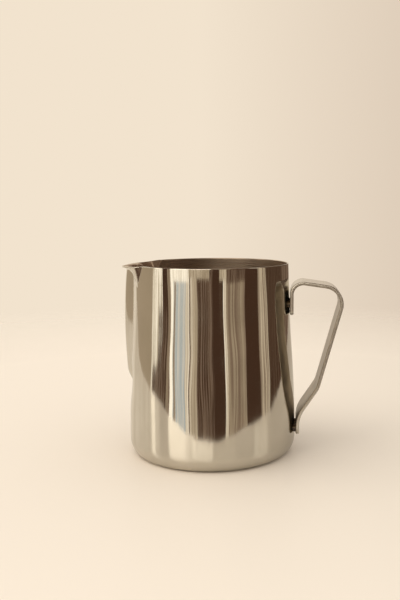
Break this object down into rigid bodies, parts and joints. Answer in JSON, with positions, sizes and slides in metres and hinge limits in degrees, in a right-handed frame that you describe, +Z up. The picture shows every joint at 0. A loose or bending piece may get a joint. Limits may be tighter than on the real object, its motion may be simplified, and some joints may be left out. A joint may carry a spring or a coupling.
{
  "type": "candle melting pot",
  "caption": "Polished steel pouring pot for melting wax, with a bell-shaped body, a pressed V spout and a bent strap handle welded to the wall.",
  "frame": {"origin": "centre of the flat underside, on the pot's axis", "axes": "+Z up along the pot's axis, +X towards the handle, -X towards the spout"},
  "size_m": [0.117, 0.0884, 0.1],
  "materials": {
    "pot_steel": "mirror-polished stainless steel, satin inside",
    "handle_steel": "satin stainless steel strap",
    "weld_steel": "as-welded stainless steel"
  },
  "bodies": {
    "root": {"pot_body": "pot_steel", "strap_handle": "handle_steel", "upper_spot_welds": "weld_steel", "lower_spot_welds": "weld_steel"}
  },
  "joints": []
}
